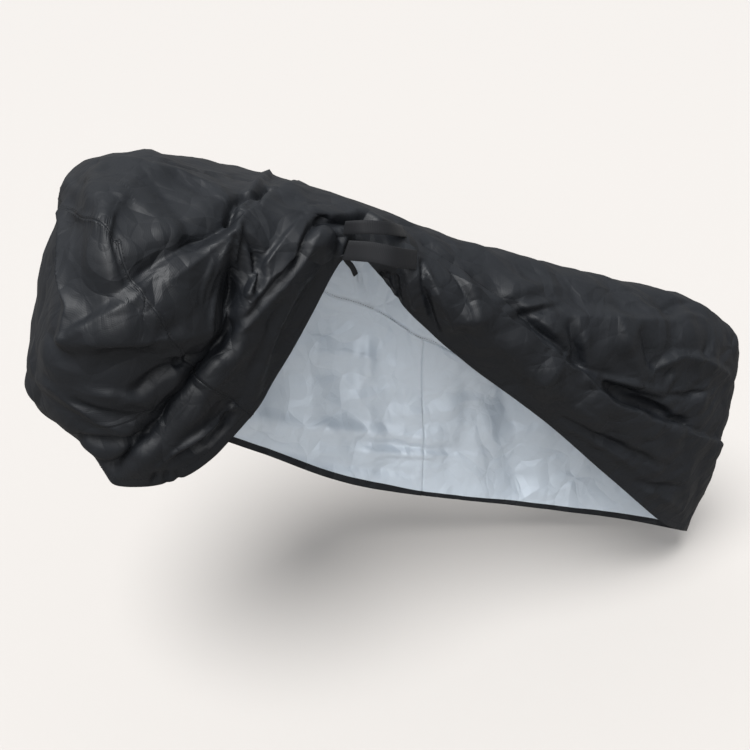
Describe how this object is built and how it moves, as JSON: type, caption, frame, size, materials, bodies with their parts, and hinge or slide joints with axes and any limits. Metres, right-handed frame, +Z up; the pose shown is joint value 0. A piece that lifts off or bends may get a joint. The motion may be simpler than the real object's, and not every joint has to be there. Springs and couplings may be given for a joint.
{
  "type": "bicycle cover",
  "caption": "Black coated cloth cover shaped as hung over a bicycle, hollow and open below, its near side gathered up in folds and tied, with a silver inside.",
  "frame": {"origin": "the point under the top of the cover where what it covers carries it, about a third of the way back along the ridge", "axes": "+X from the cover's front to its rear, +Z up, and the tied-up near side faces -Y"},
  "size_m": [1.6328, 0.6355, 1.1952],
  "materials": {
    "coated_cloth": "plain-woven black polyester with a soft satin sheen outside and a silver coating inside",
    "strap_webbing": "flat black woven band, dull"
  },
  "bodies": {
    "root": {"main_panel": "coated_cloth", "front_panel": "coated_cloth", "far_front_panel": "coated_cloth", "far_rear_panel": "coated_cloth", "upper_strap": "strap_webbing", "lower_strap": "strap_webbing", "strap_end": "strap_webbing"}
  },
  "joints": []
}
